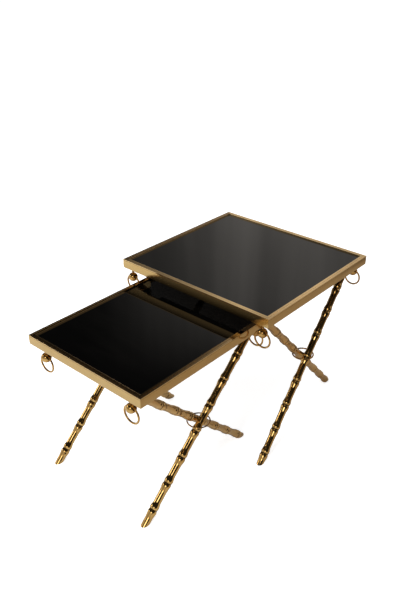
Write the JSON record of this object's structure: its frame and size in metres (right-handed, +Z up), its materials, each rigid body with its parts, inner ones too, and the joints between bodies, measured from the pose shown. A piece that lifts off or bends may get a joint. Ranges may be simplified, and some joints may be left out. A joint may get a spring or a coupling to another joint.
{
  "type": "nesting tables",
  "caption": "Nest of side tables with black glass tops in mitred brass frames on crossed faux-bamboo legs, with ball finials and swinging pull rings under the corners.",
  "frame": {"origin": "on the floor, in the middle of the pair as it stands with the small table drawn out to the front", "axes": "+X to the right, +Y to the back along which the small table is pushed in, +Z up"},
  "size_m": [0.514, 0.8336, 0.453],
  "materials": {
    "frame_brass": "brushed warm brass",
    "cast_brass": "polished cast brass with dark patina in the hollows",
    "polished_brass": "polished",
    "ring_brass": "aged, satin",
    "black_glass": "opaque black, polished",
    "clear_pad": "soft clear",
    "fixing_steel": "plated"
  },
  "bodies": {
    "large_table": {"large_corner_plate_back_left": "frame_brass", "large_corner_plate_back_right": "frame_brass", "large_corner_plate_front_left": "frame_brass", "large_corner_plate_front_right": "frame_brass", "large_cross_pin_left": "ring_brass", "large_cross_pin_right": "ring_brass", "large_cross_spacers": "ring_brass", "large_crossing_ring_left": "ring_brass", "large_crossing_ring_right": "ring_brass", "large_finial_back_left": "polished_brass", "large_finial_back_right": "polished_brass", "large_finial_front_left": "polished_brass", "large_finial_front_right": "polished_brass", "large_finial_nuts": "fixing_steel", "large_glass_pads": "clear_pad", "large_glass_top": "black_glass", "large_leg_inner_left": "cast_brass", "large_leg_inner_right": "cast_brass", "large_leg_outer_left": "cast_brass", "large_leg_outer_right": "cast_brass", "large_leg_screws": "fixing_steel", "large_rail_back": "frame_brass", "large_rail_front": "frame_brass", "large_rail_left": "frame_brass", "large_rail_right": "frame_brass"},
    "small_table": {"small_corner_plate_back_left": "frame_brass", "small_corner_plate_back_right": "frame_brass", "small_corner_plate_front_left": "frame_brass", "small_corner_plate_front_right": "frame_brass", "small_cross_pin_left": "ring_brass", "small_cross_pin_right": "ring_brass", "small_cross_spacers": "ring_brass", "small_crossing_ring_left": "ring_brass", "small_crossing_ring_right": "ring_brass", "small_finial_back_left": "polished_brass", "small_finial_back_right": "polished_brass", "small_finial_front_left": "polished_brass", "small_finial_front_right": "polished_brass", "small_finial_nuts": "fixing_steel", "small_glass_pads": "clear_pad", "small_glass_top": "black_glass", "small_leg_inner_left": "cast_brass", "small_leg_inner_right": "cast_brass", "small_leg_outer_left": "cast_brass", "small_leg_outer_right": "cast_brass", "small_leg_screws": "fixing_steel", "small_rail_back": "frame_brass", "small_rail_front": "frame_brass", "small_rail_left": "frame_brass", "small_rail_right": "frame_brass"},
    "large_pull_ring_front_left": {"large_pull_ring_front_left": "ring_brass"},
    "large_pull_ring_front_right": {"large_pull_ring_front_right": "ring_brass"},
    "large_pull_ring_back_left": {"large_pull_ring_back_left": "ring_brass"},
    "large_pull_ring_back_right": {"large_pull_ring_back_right": "ring_brass"},
    "small_pull_ring_front_left": {"small_pull_ring_front_left": "ring_brass"},
    "small_pull_ring_front_right": {"small_pull_ring_front_right": "ring_brass"},
    "small_pull_ring_back_left": {"small_pull_ring_back_left": "ring_brass"},
    "small_pull_ring_back_right": {"small_pull_ring_back_right": "ring_brass"}
  },
  "joints": [
    {"name": "small_table_slide", "type": "slide", "parent": "large_table", "child": "small_table", "axis": [0, 1, 0], "range_m": [-0.1, 0.371]},
    {"name": "large_pull_ring_front_left_swing", "type": "hinge", "parent": "large_table", "child": "large_pull_ring_front_left", "pos_m": [-0.226, -0.03535, 0.405], "axis": [1, 0, 0], "range_deg": [-110, 55]},
    {"name": "large_pull_ring_front_right_swing", "type": "hinge", "parent": "large_table", "child": "large_pull_ring_front_right", "pos_m": [0.226, -0.03535, 0.405], "axis": [1, 0, 0], "range_deg": [-110, 55]},
    {"name": "large_pull_ring_back_left_swing", "type": "hinge", "parent": "large_table", "child": "large_pull_ring_back_left", "pos_m": [-0.22, 0.40385, 0.405], "axis": [1, 0, 0], "range_deg": [-55, 110]},
    {"name": "large_pull_ring_back_right_swing", "type": "hinge", "parent": "large_table", "child": "large_pull_ring_back_right", "pos_m": [0.22, 0.40385, 0.405], "axis": [1, 0, 0], "range_deg": [-55, 110]},
    {"name": "small_pull_ring_front_left_swing", "type": "hinge", "parent": "small_table", "child": "small_pull_ring_front_left", "pos_m": [-0.148, -0.40385, 0.355], "axis": [1, 0, 0], "range_deg": [-110, 55]},
    {"name": "small_pull_ring_front_right_swing", "type": "hinge", "parent": "small_table", "child": "small_pull_ring_front_right", "pos_m": [0.148, -0.40385, 0.355], "axis": [1, 0, 0], "range_deg": [-110, 55]},
    {"name": "small_pull_ring_back_left_swing", "type": "hinge", "parent": "small_table", "child": "small_pull_ring_back_left", "pos_m": [-0.1625, 0.02425, 0.355], "axis": [1, 0, 0], "range_deg": [-55, 110]},
    {"name": "small_pull_ring_back_right_swing", "type": "hinge", "parent": "small_table", "child": "small_pull_ring_back_right", "pos_m": [0.1625, 0.02425, 0.355], "axis": [1, 0, 0], "range_deg": [-55, 110]}
  ]
}
